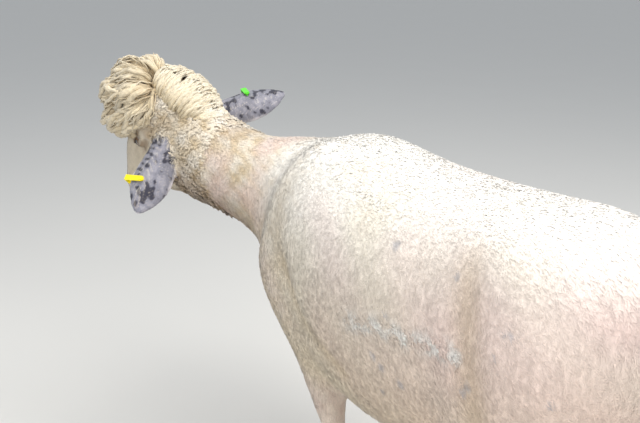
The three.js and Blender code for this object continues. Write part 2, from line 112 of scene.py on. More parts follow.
FLESH = ["trunk", "neck", "tail", "head", "ear_left", "ear_right"]
LEGS = [f"{pair}_{side}" for pair in ("foreleg", "hindleg") for side in ("left", "right")]
FLESH += [f"{leg}_{half}" for leg in LEGS for half in ("upper", "lower")]
CLAWS = [
    f"{kind}_{leg}_{half}" for kind in ("hoof", "dewclaw") for leg in LEGS for half in ("outer", "inner")
]


# -------- small tools
def unit(v):
    return v / np.maximum(np.linalg.norm(v, axis=-1, keepdims=True), 1e-9)


def smooth(low, high, value):
    t = np.clip((value - low) / (high - low), 0.0, 1.0)
    return t * t * (3.0 - 2.0 * t)


def turn(yaw, nod, tilt):
    cz, sz, cy, sy, cx, sx = (f(a) for a in (yaw, nod, tilt) for f in (math.cos, math.sin))
    about_z = np.array([[cz, -sz, 0], [sz, cz, 0], [0, 0, 1]])
    about_y = np.array([[cy, 0, sy], [0, 1, 0], [-sy, 0, cy]])
    about_x = np.array([[1, 0, 0], [0, cx, -sx], [0, sx, cx]])
    return about_z @ about_y @ about_x


def centre(node):
    low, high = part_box(node)
    return np.array(low + high) / 2


HEAD_AXES = turn(*HEAD_TURN)  # columns: forward, left, up
HEAD_AT = (centre("eye_left") + centre("eye_right")) / 2 - HEAD_AXES @ np.array([EYE_AT[0], 0, EYE_AT[1]])


def in_head(points):
    return (points - HEAD_AT) @ HEAD_AXES


def from_head(points):
    return points @ HEAD_AXES.T + HEAD_AT


def waves(points, size, seed, octaves=3):
    """Smooth noise of about -1 to 1 made of a few crossing waves."""
    rng = np.random.default_rng(seed)
    total = np.zeros(len(points))
    weight = 0.0
    for octave in range(octaves):
        for _ in range(5):
            direction = unit(rng.normal(size=3)) * 2 * math.pi / size * 2**octave
            total += 0.5**octave * np.sin(points @ direction + rng.uniform(0, 2 * math.pi))
        weight += 0.5**octave * 1.6
    return total / weight


def from_line(points, line):
    """Distance from each point to a line of straight lengths, or to its mirror image across the body."""
    flipped = points * (1, -1, 1) + (0, 2 * MIDDLE_Y, 0)
    mirrored = np.where(points[..., 1:2] < MIDDLE_Y, flipped, points)
    best = None
    for a, b in zip(line, line[1:]):
        a, b = np.array(a), np.array(b)
        t = np.clip(((mirrored - a) @ (b - a)) / ((b - a) @ (b - a)), 0, 1)
        gap = np.linalg.norm(mirrored - a - t[..., None] * (b - a), axis=-1)
        best = gap if best is None else np.minimum(best, gap)
    return best


# -------- distance grids
class Grid:
    """A block of space in which distances to a surface are kept, in metres."""

    def __init__(self, low, high, step, band):
        self.low = np.array(low, float)
        self.step = step
        self.band = band
        self.shape = tuple(int(math.ceil((h - l) / step)) + 1 for l, h in zip(low, high))

    def solid(self, points, triangles=None, quads=None):
        flat = ((points - self.low) / self.step).astype(np.float32)
        made = openvdb.FloatGrid.createLevelSetFromPolygons(
            flat,
            triangles=None if triangles is None else triangles.astype(np.uint32),
            quads=None if quads is None else quads.astype(np.uint32),
            transform=openvdb.createLinearTransform(voxelSize=1.0),
            halfWidth=float(self.band),
        )
        values = np.full(self.shape, float(self.band), np.float32)
        made.copyToArray(values, ijk=(0, 0, 0))
        return values * self.step

    def node(self, name):
        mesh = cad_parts[name].data
        mesh.calc_loop_triangles()
        points = np.zeros(len(mesh.vertices) * 3)
        mesh.vertices.foreach_get("co", points)
        triangles = np.zeros(len(mesh.loop_triangles) * 3, np.int32)
        mesh.loop_triangles.foreach_get("vertices", triangles)
        return self.solid(points.reshape(-1, 3), triangles=triangles.reshape(-1, 3))

    def surface(self, values, level=0.0):
        held = openvdb.FloatGrid(float(self.band))
        held.copyFromArray((values / self.step).astype(np.float32))
        points, _, quads = held.convertToPolygons(level / self.step, 0.0)
        return points * self.step + self.low, quads.astype(np.int64)

    def places(self):
        axes = [l + self.step * np.arange(n) for l, n in zip(self.low, self.shape)]
        return np.stack(np.meshgrid(*axes, indexing="ij"), -1)


def distance_at(points, grid, values):
    at = np.rint((points - grid.low) / grid.step).astype(int)
    inside = np.all((at >= 0) & (at < np.array(grid.shape)), axis=1)
    found = np.full(len(points), 1.0)
    at = at[inside]
    found[inside] = values[at[:, 0], at[:, 1], at[:, 2]]
    return found


def merge(a, b, width):
    h = np.clip(0.5 + 0.5 * (b - a) / width, 0, 1)
    return b * (1 - h) + a * h - width * h * (1 - h)


def blur_once(values, sigma):
    reach = max(1, int(math.ceil(2.5 * sigma)))
    weights = np.exp(-0.5 * (np.arange(-reach, reach + 1) / sigma) ** 2)
    weights /= weights.sum()
    for axis in range(3):
        padded = np.pad(values, [(reach, reach) if a == axis else (0, 0) for a in range(3)], mode="edge")
        size = values.shape[axis]
        values = sum(
            w * padded[tuple(slice(i, i + size) if a == axis else slice(None) for a in range(3))]
            for i, w in enumerate(weights)
        )
    return values.astype(np.float32)


def blur(values, sigma):
    """Smooths without shrinking: what a second pass would take away is given back."""
    once = blur_once(values, sigma)
    return 2 * once - blur_once(once, sigma)


# -------- meshes
def new_object(name, points, quads=None, triangles=None, smooth_shading=True):
    mesh = bpy.data.meshes.new(name)
    quads = np.zeros((0, 4), np.int64) if quads is None else quads
    triangles = np.zeros((0, 3), np.int64) if triangles is None else triangles
    loops = np.concatenate([quads.ravel(), triangles.ravel()]).astype(np.int32)
    starts = np.concatenate([np.arange(len(quads)) * 4, len(quads) * 4 + np.arange(len(triangles)) * 3])
    mesh.vertices.add(len(points))
    mesh.vertices.foreach_set("co", np.ascontiguousarray(points, np.float32).ravel())
    mesh.loops.add(len(loops))
    mesh.loops.foreach_set("vertex_index", loops)
    mesh.polygons.add(len(starts))
    mesh.polygons.foreach_set("loop_start", starts.astype(np.int32))
    mesh.update(calc_edges=True)
    mesh.polygons.foreach_set("use_smooth", np.full(len(starts), smooth_shading))
    made = bpy.data.objects.new(name, mesh)
    bpy.context.scene.collection.objects.link(made)
    return made


def vertices_of(mesh):
    points = np.zeros(len(mesh.vertices) * 3, np.float32)
    mesh.vertices.foreach_get("co", points)
    return points.reshape(-1, 3).astype(float)


def normals_of(mesh):
    normals = np.zeros(len(mesh.vertices) * 3, np.float32)
    mesh.vertex_normals.foreach_get("vector", normals)
    return normals.reshape(-1, 3).astype(float)


def relaxed(points, edges, rounds, share):
    """Each point moved towards the mean of its neighbours, share saying how far."""
    a, b = edges[:, 0], edges[:, 1]
    count = np.maximum(np.bincount(a, minlength=len(points)) + np.bincount(b, minlength=len(points)), 1)
    for _ in range(rounds):
        mean = np.stack(
            [
                (np.bincount(a, points[b, i], len(points)) + np.bincount(b, points[a, i], len(points))) / count
                for i in range(3)
            ],
            -1,
        )
        points = points + (mean - points) * share[:, None]
    return points


def paint(mesh, name, colours):
    held = mesh.attributes.new(name, "FLOAT_COLOR", "POINT")
    rgba = np.ones((len(colours), 4), np.float32)
    rgba[:, :3] = colours
    held.data.foreach_set("color", rgba.ravel())


# -------- the skin
MARGIN = 0.03  # room left round what each grid holds
CUT_OVERLAP = 0.07  # how far the body's grid runs on past the cut
SHORN_LEG = (0.34, 0.46)  # heights between which the legs pass into the trunk
HEM = (0.27, 0.36)  # and between which the coat gets its full depth


def body_part():
    """The surface of trunk, tail, legs and most of the neck, flowing into each other."""
    low, high = np.array(CAD_BOX[0]) - MARGIN, np.array(CAD_BOX[1]) + MARGIN
    high[0] = CUT_X + CUT_OVERLAP
    grid = Grid(low, high, BODY_STEP, BODY_BAND)
    joined = None
    for name in ["trunk", "neck", "tail"] + [f"{leg}_{half}" for leg in LEGS for half in ("upper", "lower")]:
        values = grid.node(name)
        width = 6 * MM if name.endswith("lower") else CREASE
        joined = values if joined is None else merge(joined, values, width)
    values = grid.solid(*split(grid.surface(joined, PROUD))) + PROUD
    place = grid.places()
    z = place[..., 2]
    upper = smooth(*SHORN_LEG, z)
    values = blur(values, 2.4) * upper + blur(values, 0.8) * (1 - upper)
    for line, deep, width in CREASES:
        values += deep * np.exp(-((from_line(place, line) / width) ** 2))
    for line, width in RIDGES:
        values -= RIDGE_HEIGHT * np.exp(-((from_line(place, line) / width) ** 2))
    trunkwards = 1 - smooth(0.17, 0.30, place[..., 0])
    wool = DEPTH["trunk"] * trunkwards + DEPTH["neck"] * (1 - trunkwards)
    values += DEPTH["leg"] + (wool - DEPTH["leg"]) * smooth(*HEM, z)
    return grid.surface(values)


def split(surface):
    points, quads = surface
    return points, None, quads


def ellipsoid(place, at, half, lean):
    """Distance, roughly, to an ellipsoid in the head's frame, leaning about its own left axis."""
    p = place - np.array(at)
    c, s = math.cos(lean), math.sin(lean)
    x = p[..., 0] * c + p[..., 2] * s
    z = -p[..., 0] * s + p[..., 2] * c
    q = np.sqrt((x / half[0]) ** 2 + (p[..., 1] / half[1]) ** 2 + (z / half[2]) ** 2)
    return (q - 1) * min(half)


# In the head's frame: the way the left eye looks, and the left nostril.
GAZE = np.array([0.30, 1.0, 0.10])
NOSTRIL = {"at": (243 * MM, 15 * MM, 5 * MM), "half": (13 * MM, 3.4 * MM, 5 * MM), "lean": 0.9}


def head_part():
    """The surface of head, ears and the end of the neck, with lids, nostrils and mouth cut into it."""
    names = ["head", "ear_left", "ear_right", "poll_wool"]
    low = np.min([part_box(n)[0] for n in names], 0) - MARGIN
    high = np.max([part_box(n)[1] for n in names], 0) + MARGIN
    low[0] = CUT_X - MARGIN
    grid = Grid(low, high, HEAD_STEP, HEAD_BAND)
    skull = merge(grid.node("head"), grid.node("neck"), 14 * MM)
    skull = merge(skull, grid.node("poll_wool") + CREST_DEEP, 20 * MM)
    ears = np.minimum(grid.node("ear_left"), grid.node("ear_right"))
    EAR_GRID.extend([grid, ears])
    joined = merge(skull, ears, EAR_CREASE)
    values = grid.solid(*split(grid.surface(joined, PROUD))) + PROUD
    place = grid.places()
    near_ear = smooth(2 * MM, 12 * MM, ears)
    values = blur(values, 2.2) * near_ear + blur(values, 0.6) * (1 - near_ear)
    local = in_head(place)
    x, y, z = local[..., 0], np.abs(local[..., 1]), local[..., 2]
    neckwards = smooth(10 * MM, -60 * MM, x)
    depth = DEPTH["head"] + (DEPTH["neck"] - DEPTH["head"]) * neckwards
    values += depth * near_ear + DEPTH["ear"] * (1 - near_ear)
    mirrored = np.stack([x, y, z], -1)
    eye = abs(in_head(centre("eye_left"))[1])
    eye_at = np.array([EYE_AT[0], eye, EYE_AT[1]])
    out = unit(GAZE)
    along = unit(np.array([0.95, -0.30, -0.18]))
    along = unit(along - out * (along @ out))
    up = np.cross(out, along) * -1
    from_eye = mirrored - eye_at
    reach = np.linalg.norm(from_eye, axis=-1)
    values = merge(values, reach - LID["radius"], 7 * MM)
    across, high_up = from_eye @ along, from_eye @ up
    slit = np.sqrt((across / LID["long"]) ** 2 + ((high_up + 1.5 * MM) / LID["high"]) ** 2) - 1
    slit = np.maximum(slit * LID["high"], 2 * MM - from_eye @ out)
    values = -merge(-values, slit, 1.5 * MM)
    values = np.maximum(values, EYE_RADIUS + 0.15 * MM - reach)
    fold = np.abs(np.hypot(across / 1.5, high_up) - 10.5 * MM)
    values += 0.9 * MM * np.exp(-((fold / (1.6 * MM)) ** 2)) * (high_up > 0) * (from_eye @ out > 6 * MM)
    nostril = ellipsoid(mirrored, **NOSTRIL)
    values = -merge(-values, nostril, 3 * MM)
    mouth = z + 24 * MM - 6 * MM * smooth(200 * MM, 250 * MM, x)
    values += 3.0 * MM * np.exp(-((mouth / (1.9 * MM)) ** 2)) * smooth(176 * MM, 196 * MM, x)
    philtrum = 2.5 * MM * np.exp(-((y / (1.8 * MM)) ** 2)) * smooth(236 * MM, 246 * MM, x)
    values += philtrum * smooth(12 * MM, 4 * MM, z) * smooth(-26 * MM, -18 * MM, z)
    tearduct = np.hypot(z - (4 * MM - 0.25 * (x - 95 * MM)), (x - 102 * MM) / 3)
    values += 1.8 * MM * np.exp(-((tearduct / (4 * MM)) ** 2)) * (y > 20 * MM)
    SKIN_GRID.extend([grid, values])
    return grid.surface(values)


def biggest(mesh):
    """Drops any scrap that isn't joined to the largest piece."""
    left = set(mesh.verts)
    groups = []
    while left:
        seed = left.pop()
        stack, group = [seed], [seed]
        while stack:
            for edge in stack.pop().link_edges:
                for v in edge.verts:
                    if v in left:
                        left.discard(v)
                        stack.append(v)
                        group.append(v)
        groups.append(group)
    groups.sort(key=len)
    for group in groups[:-1]:
        bmesh.ops.delete(mesh, geom=group, context="VERTS")


def trimmed(name, surface, side):
    """Makes a surface into an object and cuts it off square across the neck."""
    made = new_object(name, surface[0], quads=surface[1])
    mesh = bmesh.new()
    mesh.from_mesh(made.data)
    geometry = mesh.verts[:] + mesh.edges[:] + mesh.faces[:]
    at = (CUT_X + side * CUT_GAP, 0, 0)
    bmesh.ops.bisect_plane(mesh, geom=geometry, plane_co=at, plane_no=(-side, 0, 0), clear_outer=True)
    biggest(mesh)
    mesh.to_mesh(made.data)
    mesh.free()
    return made


def build_skin():
    """Joins the coarse body and the fine head into one closed skin, and unwraps it."""
    body = trimmed("skin", body_part(), -1)
    head = trimmed("skin_head", head_part(), 1)
    mesh = bmesh.new()
    mesh.from_mesh(body.data)
    mesh.from_mesh(head.data)
    bpy.data.objects.remove(head)
    rim = [edge for edge in mesh.edges if len(edge.link_faces) == 1]
    bmesh.ops.bridge_loops(mesh, edges=rim)
    bmesh.ops.recalc_face_normals(mesh, faces=mesh.faces[:])
    for face in mesh.faces:
        face.smooth = True
    mesh.to_mesh(body.data)
    mesh.free()
    skin = body.data
    points = vertices_of(skin)
    edges = np.zeros(len(skin.edges) * 2, np.int32)
    skin.edges.foreach_get("vertices", edges)
    edges = edges.reshape(-1, 2)
    neckwards = smooth(CUT_X + 0.06, CUT_X + 0.02, points[:, 0])
    thin = smooth(3 * MM, 0.5 * MM, distance_at(points, *EAR_GRID))
    points = relaxed(points, edges, 6, 0.5 * neckwards * (1 - thin) + 0.12 + 0.33 * thin)
    skin.vertices.foreach_set("co", points.astype(np.float32).ravel())
    skin.update()
    bpy.context.view_layer.objects.active = body
    body.select_set(True)
    bpy.ops.object.mode_set(mode="EDIT")
    bpy.ops.mesh.select_all(action="SELECT")
    bpy.ops.uv.smart_project(angle_limit=math.radians(66), island_margin=0.001)
    bpy.ops.object.mode_set(mode="OBJECT")
    skin.uv_layers.active.name = "OFBake"
    return body


skin = build_skin()


# -------- colours of skin and coat
def rgb(text):
    values = np.array([int(text[i:i + 2], 16) / 255 for i in (0, 2, 4)])
    return np.where(values <= 0.04045, values / 12.92, ((values + 0.055) / 1.055) ** 2.4)


CREAM = rgb("efe4d2")
WHITE = rgb("fbf7ef")
PINK = rgb("eed3c9")
TAN = rgb("d6bf9a")
# A brown painted as shade under the neck, throat, poll and jaw.
SHADE_BROWN = rgb("8b6746")
LOCK = rgb("e6d6b2")
# Darker colour at the roots of the forelock and crest locks: painted shade among the locks.
LOCK_ROOT_SHADE = rgb("b08c5c")
FACE = rgb("d9ccb6")
FACE_SHADE = rgb("8f7860")
EAR = rgb("86858f")
EAR_SPOT = rgb("2c2b38")
EAR_RIM = rgb("e3dde1")
BARE = rgb("cdb3a6")
LID_SKIN = rgb("4a3b35")
NOSE_SKIN = rgb("6f5f63")
SPOT = rgb("9fa3ad")
# Where the painted shade under the throat is darkest.
THROAT_SHADE_AT = np.array([-60, 0, -75]) * MM  # in the head's frame
COMB = 6.5 * MM  # spacing of the lines the shears' comb left on the rump
FLANK_SPOTS = 26  # grey freckles of bare skin on the rump


def mix(a, b, share):
    share = np.asarray(share)[..., None]
    return a * (1 - share) + b * share


class Zones:
    """How far each point belongs to each part of the coat, from 0 to 1."""

    def __init__(self, points, normals):
        self.p, self.n = points, normals
        self.h = in_head(points)
        self.hn = normals @ HEAD_AXES
        x, y, z = self.h.T
        beside_head = smooth(46 * MM, 58 * MM, np.hypot(y, 0.6 * (x - 10 * MM)))
        self.ear = smooth(3 * MM, 0.5 * MM, distance_at(points, *EAR_GRID)) * beside_head
        headwards = smooth(-75 * MM, -45 * MM, x) * (points[:, 0] > CUT_X) * (np.abs(y) < 120 * MM)
        self.head = headwards * (1 - self.ear)
        muzzle = 62 * MM + 38 * MM * smooth(-5 * MM, -45 * MM, z) + 8 * MM * waves(points, 40 * MM, 3, 1)
        self.face = self.head * smooth(muzzle - 10 * MM, muzzle + 8 * MM, x)
        self.poll = self.head * (1 - self.face / np.maximum(self.head, 1e-6))
        rest = (1 - self.head) * (1 - self.ear)
        self.neck = smooth(0.19, 0.25, points[:, 0] + 0.10 * (points[:, 2] - 0.6)) * rest
        self.neck *= points[:, 2] > 0.40
        self.leg = smooth(0.36, 0.29, points[:, 2]) * rest
        self.body = np.clip(1 - self.head - self.ear - self.neck - self.leg, 0, 1)


CLEAR_ROUNDS = 4


def clear_of_skin(path, gap):
    """Moves the points of the paths out until they are at least gap away from the skin of the head."""
    points = path.reshape(-1, 3).copy()
    reach = 2 * HEAD_STEP
    for _ in range(CLEAR_ROUNDS):
        short = np.maximum(gap - distance_at(points, *SKIN_GRID), 0)
        slope = np.stack(
            [
                distance_at(points + reach * axis, *SKIN_GRID) - distance_at(points - reach * axis, *SKIN_GRID)
                for axis in np.eye(3)
            ],
            -1,
        )
        points += unit(slope) * short[:, None]
    return points.reshape(path.shape)


def coat_colour(zones):
    """The colour of skin and coat at each point: trunk, then neck, poll, face, legs and ears over it, with
    painted light on the top line and painted shade low down, in creases and under neck, poll and jaw.
    """
    p, n, h = zones.p, zones.n, zones.h
    x, y, z = p.T
    patchy = waves(p, 0.22, 21, 2)
    fine = waves(p, 0.035, 22, 2)
    # Whiter higher up the trunk: painted light where the overhead lamp falls on the top line.
    colour = mix(CREAM, WHITE, smooth(0.50, 0.72, z + 0.05 * patchy) * 0.8)
    pink = np.clip(smooth(0.10, -0.50, x) * 0.75 + 0.28 * patchy, 0, 0.85)
    colour = mix(colour, PINK, pink * smooth(0.74, 0.62, z))
    comb = np.sin(2 * math.pi * (x + 0.15 * y + 1.5 * MM * waves(p, 0.09, 23, 2)) / COMB)
    colour = colour * (1 + 0.05 * comb * smooth(-0.25, -0.42, x))[:, None]
    # Tan lower down the trunk: painted shade under the overhead light, with the fine noise giving the coat's own
    # uneven tone.
    tan = smooth(0.62, 0.30, z) * 0.55 + 0.18 * fine * smooth(-0.1, 0.2, x)
    colour = mix(colour, TAN, np.clip(tan, 0, 0.8))
    # Tan on the lower front of the chest: painted shade.
    colour = mix(colour, TAN, 0.35 * smooth(0.05, 0.20, x) * smooth(0.66, 0.50, z))
    # Tan along the flank, elbow and shoulder creases: painted shade in the creases.
    for line, _, width in CREASES:
        colour = mix(colour, TAN, 0.45 * np.exp(-((from_line(p, line) / width) ** 2)))
    broken = smooth(-0.5, 0.4, waves(p, 0.03, 24, 2))
    for line, width in RIDGES:
        near = np.exp(-((from_line(p, line) / (1.6 * width)) ** 2)) * broken
        colour = mix(colour, WHITE, 0.85 * near)
    rng = np.random.default_rng(77)
    for _ in range(FLANK_SPOTS):
        at = np.array([rng.uniform(-0.55, -0.20), 0.0, rng.uniform(0.42, 0.66)])
        size = rng.uniform(3.5, 7) * MM
        side = 1 if rng.random() < 0.5 else -1
        near = np.hypot(x - at[0], z - at[2]) / size
        colour = mix(colour, SPOT, 0.5 * smooth(1.4, 0.6, near) * (n[:, 1] * side > 0.3) * zones.body)
    neck = mix(CREAM, TAN, np.clip(0.30 + 0.35 * fine + 0.25 * patchy, 0, 0.8))
    neck = mix(neck, PINK, np.clip(0.25 + 0.5 * waves(p, 0.11, 25, 2), 0, 0.6))
    # Brown where the neck faces down and near the throat: painted shade under the neck and jaw.
    underside_shade = smooth(-0.05, -0.75, n[:, 2])
    throat_shade = smooth(0.12, 0.03, np.linalg.norm(p - from_head(THROAT_SHADE_AT), axis=1))
    neck = mix(neck, SHADE_BROWN, np.clip(0.62 * underside_shade + 0.45 * throat_shade, 0, 0.8))
    colour = mix(colour, neck, zones.neck)
    poll = mix(CREAM, TAN, np.clip(0.42 + 0.4 * fine, 0, 0.9))
    # Brown where the poll's wool faces down: painted shade.
    poll = mix(poll, SHADE_BROWN, 0.6 * smooth(0.15, -0.7, n[:, 2]))
    colour = mix(colour, poll, zones.poll)
    streak = waves(np.stack([h[:, 0] * 0.18, h[:, 1], h[:, 2] * 1.0], -1), 0.022, 31, 2)
    streak = np.clip(0.15 + 0.5 * streak, 0, 0.75)
    face = mix(FACE, FACE_SHADE, streak * smooth(150 * MM, 90 * MM, h[:, 0]))
    # Brown under the jaw, where the face turns downward: painted shade.
    jaw_shade = smooth(0.0, -0.7, zones.hn[:, 2]) * smooth(190 * MM, 120 * MM, h[:, 0])
    face = mix(face, SHADE_BROWN, 0.55 * jaw_shade)
    nose = smooth(222 * MM, 246 * MM, h[:, 0]) * smooth(26 * MM, 14 * MM, np.abs(h[:, 1]))
    face = mix(face, NOSE_SKIN, 0.75 * nose)
    eye_height = abs(in_head(centre("eye_left"))[1])
    from_eye = np.stack([h[:, 0] - EYE_AT[0], np.abs(h[:, 1]) - eye_height, h[:, 2] - EYE_AT[1]], -1)
    rim = smooth(21 * MM, 14.5 * MM, np.hypot(np.linalg.norm(from_eye, axis=1), 1.2 * from_eye[:, 2]))
    face = mix(face, LID_SKIN, 0.75 * rim)
    colour = mix(colour, face, zones.face)
    leg = mix(BARE, CREAM, np.clip(0.5 + 0.15 * fine, 0, 1))
    leg = mix(leg, TAN, 0.35 * smooth(0.12, 0.02, z))
    colour = mix(colour, leg, zones.leg)
    blotch = waves(p, 0.034, 41, 2) + 0.25 * waves(p, 0.012, 42, 1)
    ear = mix(EAR, EAR_SPOT, smooth(0.12, 0.5, blotch) * 0.9)
    ear = mix(ear, EAR_RIM, 0.15 * smooth(-0.35, -1.0, blotch))
    rim = nearer_ear(p, EARS["left"].rim(p), EARS["right"].rim(p))
    ear = mix(ear, EAR_RIM, 0.9 * smooth(0.80, 0.93, rim))
    colour = mix(colour, ear, zones.ear)
    return np.clip(colour, 0, 1)


class Ear:
    """An ear's own axes: along it, across it, and how far it reaches each way across."""

    def __init__(self, name):
        points = vertices_of(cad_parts[name].data)
        around_middle = points - points.mean(0)
        _, axes = np.linalg.eigh(around_middle.T @ around_middle)
        self.middle = points.mean(0)
        self.along, self.across = axes[:, 2], axes[:, 1]
        if (self.middle - HEAD_AT) @ self.along < 0:
            self.along = -self.along
        t, a = around_middle @ self.along, around_middle @ self.across
        self.places = np.linspace(t.min(), t.max(), 12)
        near = [np.abs(t - place) < 1.3 * (self.places[1] - self.places[0]) for place in self.places]
        self.low = np.array([a[n].min() for n in near])
        self.high = np.array([a[n].max() for n in near])

    def rim(self, points):
        """0 in the middle of the ear and 1 at its edge or tip."""
        p = points - self.middle
        t, a = p @ self.along, p @ self.across
        low, high = np.interp(t, self.places, self.low), np.interp(t, self.places, self.high)
        share = np.abs(2 * (a - low) / np.maximum(high - low, 1 * MM) - 1)
        return np.maximum(share, smooth(self.places[-1] - 16 * MM, self.places[-1], t))


EARS = {side: Ear(f"ear_{side}") for side in ("left", "right")}


def nearer_ear(points, left_value, right_value):
    to_left, to_right = (np.linalg.norm(points - EARS[side].middle, axis=1) for side in ("left", "right"))
    is_left = (to_left < to_right).reshape((-1,) + (1,) * (np.ndim(left_value) - 1))
    return np.where(is_left, left_value, right_value)


# -------- roots of the coat
SKIN = skin.data
SKIN.calc_loop_triangles()
POINTS = vertices_of(SKIN)
NORMALS = normals_of(SKIN)
TRIANGLES = np.zeros(len(SKIN.loop_triangles) * 3, np.int32)
SKIN.loop_triangles.foreach_get("vertices", TRIANGLES)
TRIANGLES = TRIANGLES.reshape(-1, 3)
CORNERS = np.zeros(len(SKIN.loop_triangles) * 3, np.int32)
SKIN.loop_triangles.foreach_get("loops", CORNERS)
CORNERS = CORNERS.reshape(-1, 3)
UNWRAP = np.zeros(len(SKIN.loops) * 2, np.float32)
SKIN.uv_layers["OFBake"].data.foreach_get("uv", UNWRAP)
UNWRAP = UNWRAP.reshape(-1, 2).astype(float)
MIDDLES = POINTS[TRIANGLES].mean(1)
FIRST, SECOND, THIRD = POINTS[TRIANGLES].transpose(1, 0, 2)
SPAN = np.cross(SECOND - FIRST, THIRD - FIRST)
FACING = unit(SPAN)
AREAS = np.linalg.norm(SPAN, axis=1) / 2
ZONES = Zones(MIDDLES, FACING)
paint(SKIN, "Tint", coat_colour(Zones(POINTS, NORMALS)))


class Roots:
    """Places on the skin picked at random, more of them where density is high."""

    def __init__(self, count, density):
        chance = AREAS * density
        pick = RNG.choice(len(TRIANGLES), count, p=chance / chance.sum())
        a = np.sqrt(RNG.random(count))
        b = RNG.random(count)
        share = np.stack([1 - a, a * (1 - b), a * b], -1)[..., None]
        self.p = (POINTS[TRIANGLES[pick]] * share).sum(1)
        self.n = unit((NORMALS[TRIANGLES[pick]] * share).sum(1))
        self.uv = (UNWRAP[CORNERS[pick]] * share).sum(1)
        self.zones = Zones(self.p, self.n)
        self.h = self.zones.h
        self.colour = coat_colour(self.zones)
        self.count = count


def flow(roots, spread):
    """The lie of the coat, as a direction along the skin, with some hairs astray."""
    zones = roots.zones
    back = np.array([-1.0, 0.0, -0.55])
    down = np.array([-0.12, 0.0, -1.0])
    neck = np.array([-0.55, -0.35, -0.75])
    head = HEAD_AXES @ np.array([-1.0, 0.0, -0.45])
    towards_tip = nearer_ear(roots.p, EARS["left"].along[None], EARS["right"].along[None])
    way = (
        zones.body[:, None] * back
        + zones.leg[:, None] * down
        + zones.neck[:, None] * neck
        + zones.head[:, None] * head
        + zones.ear[:, None] * towards_tip * 2
    )
    way = way + RNG.normal(size=way.shape) * spread
    return unit(way - roots.n * (way * roots.n).sum(1, keepdims=True))


# -------- locks and tufts
def strands(roots, way, length, steps, rise, sag=0.0, curl=0.0, pitch=0.03):
    """Paths of the tufts: they rise from the skin, lie over along way, sag and curl."""
    count = len(roots.p)
    length = np.broadcast_to(length, count)
    rise = np.broadcast_to(rise, count)
    t = (np.arange(steps) + 0.5) / steps
    heading = way[:, None] + roots.n[:, None] * (rise[:, None] * (1 - t) ** 1.3)[..., None]
    heading = heading + np.array([0, 0, -1.0]) * (sag * t)[None, :, None]
    heading = unit(heading) * (length / steps)[:, None, None]
    path = np.concatenate([np.zeros((count, 1, 3)), np.cumsum(heading, 1)], 1) + roots.p[:, None]
    return waved(path, np.cross(way, roots.n), roots.n, length, curl, pitch)


def waved(path, side, up, length, curl, pitch):
    count, stations = path.shape[:2]
    s = np.linspace(0, 1, stations)[None] * np.broadcast_to(length, count)[:, None]
    phase = RNG.uniform(0, 2 * math.pi, count)[:, None]
    turns = 2 * math.pi * s / np.broadcast_to(pitch, count)[:, None]
    size = np.broadcast_to(curl, count)[:, None] * np.linspace(0, 1, stations)[None] ** 0.6
    swing = (np.sin(turns + phase) - np.sin(phase)) * size
    lift = (np.cos(turns + phase) - np.cos(phase)) * size * 0.6
    if side.ndim == 2:
        side, up = side[:, None], up[:, None]
    return path + side * swing[..., None] + up * lift[..., None]


PATCH = 0.0024  # the size of each tuft's patch on the unwrap


def tufts(
    name, path, up, uv, root_colour, tip_colour, width, sides, profile, look, flat=0.8, nodes=(), soft=0.0
):
    """Joins tapered tubes along the paths into one mesh. Soft ones are lit more like the skin under them."""
    count, stations = path.shape[:2]
    steps = stations - 1
    tangent = unit(np.gradient(path, axis=1))
    if up.ndim == 2:
        up = np.broadcast_to(up[:, None], path.shape)
    side = unit(np.cross(tangent, up))
    over = np.cross(side, tangent)
    around = 2 * math.pi * (np.arange(sides) / sides)[None] + RNG.uniform(0, 2 * math.pi, count)[:, None]
    t = np.arange(steps) / steps
    radius = np.broadcast_to(width, count)[:, None] / 2 * profile(t)[None]
    ring = (
        path[:, :steps, None]
        + side[:, :steps, None] * (np.cos(around)[:, None] * radius[..., None])[..., None]
        + over[:, :steps, None] * (np.sin(around)[:, None] * radius[..., None] * flat)[..., None]
    )
    points = np.concatenate([ring.reshape(count, -1, 3), path[:, -1:]], 1)
    each = steps * sides + 1
    base = (np.arange(count) * each)[:, None, None]
    j = np.arange(sides)
    k = np.arange(steps - 1)[:, None]
    here = k * sides + j
    nextwards = k * sides + (j + 1) % sides
    quads = np.stack([here, here + sides, nextwards + sides, nextwards], -1).reshape(1, -1, 4) + base
    last = (steps - 1) * sides
    tips = np.stack([last + (j + 1) % sides, last + j, np.full(sides, each - 1)], -1)[None] + base
    j = np.arange(1, sides - 1)
    caps = np.stack([np.zeros_like(j), j, j + 1], -1)[None] + base
    triangles = np.concatenate([tips.reshape(-1, 3), caps.reshape(-1, 3)])
    made = new_object(name, points.reshape(-1, 3), quads.reshape(-1, 4), triangles)
    patch = np.zeros((each, 2))
    patch[:-1, 0] = np.tile(np.arange(sides) / sides - 0.5, steps)
    patch[:-1, 1] = np.repeat(t - 0.5, sides)
    patch[-1] = (0, 0.5)
    uv = (uv[:, None] + patch[None] * PATCH).reshape(-1, 2)
    layer = made.data.uv_layers.new(name="OFBake")
    loops = np.zeros(len(made.data.loops), np.int32)
    made.data.loops.foreach_get("vertex_index", loops)
    layer.data.foreach_set("uv", uv[loops].astype(np.float32).ravel())
    along = np.append(np.repeat(t, sides), 1.0)[None, :, None]
    colour = root_colour[:, None] * (1 - along) + tip_colour[:, None] * along
    paint(made.data, "Tint", colour.reshape(-1, 3))
    if soft:
        own = normals_of(made.data)
        under = np.repeat(up[:, 0] if up.ndim == 3 else up, each, axis=0)
        made.data.normals_split_custom_set_from_vertices(unit(under * soft + own * (1 - soft)))
    made.data.materials.append(look)
    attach(made, "root")
    if nodes:
        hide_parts(*nodes)
    return made


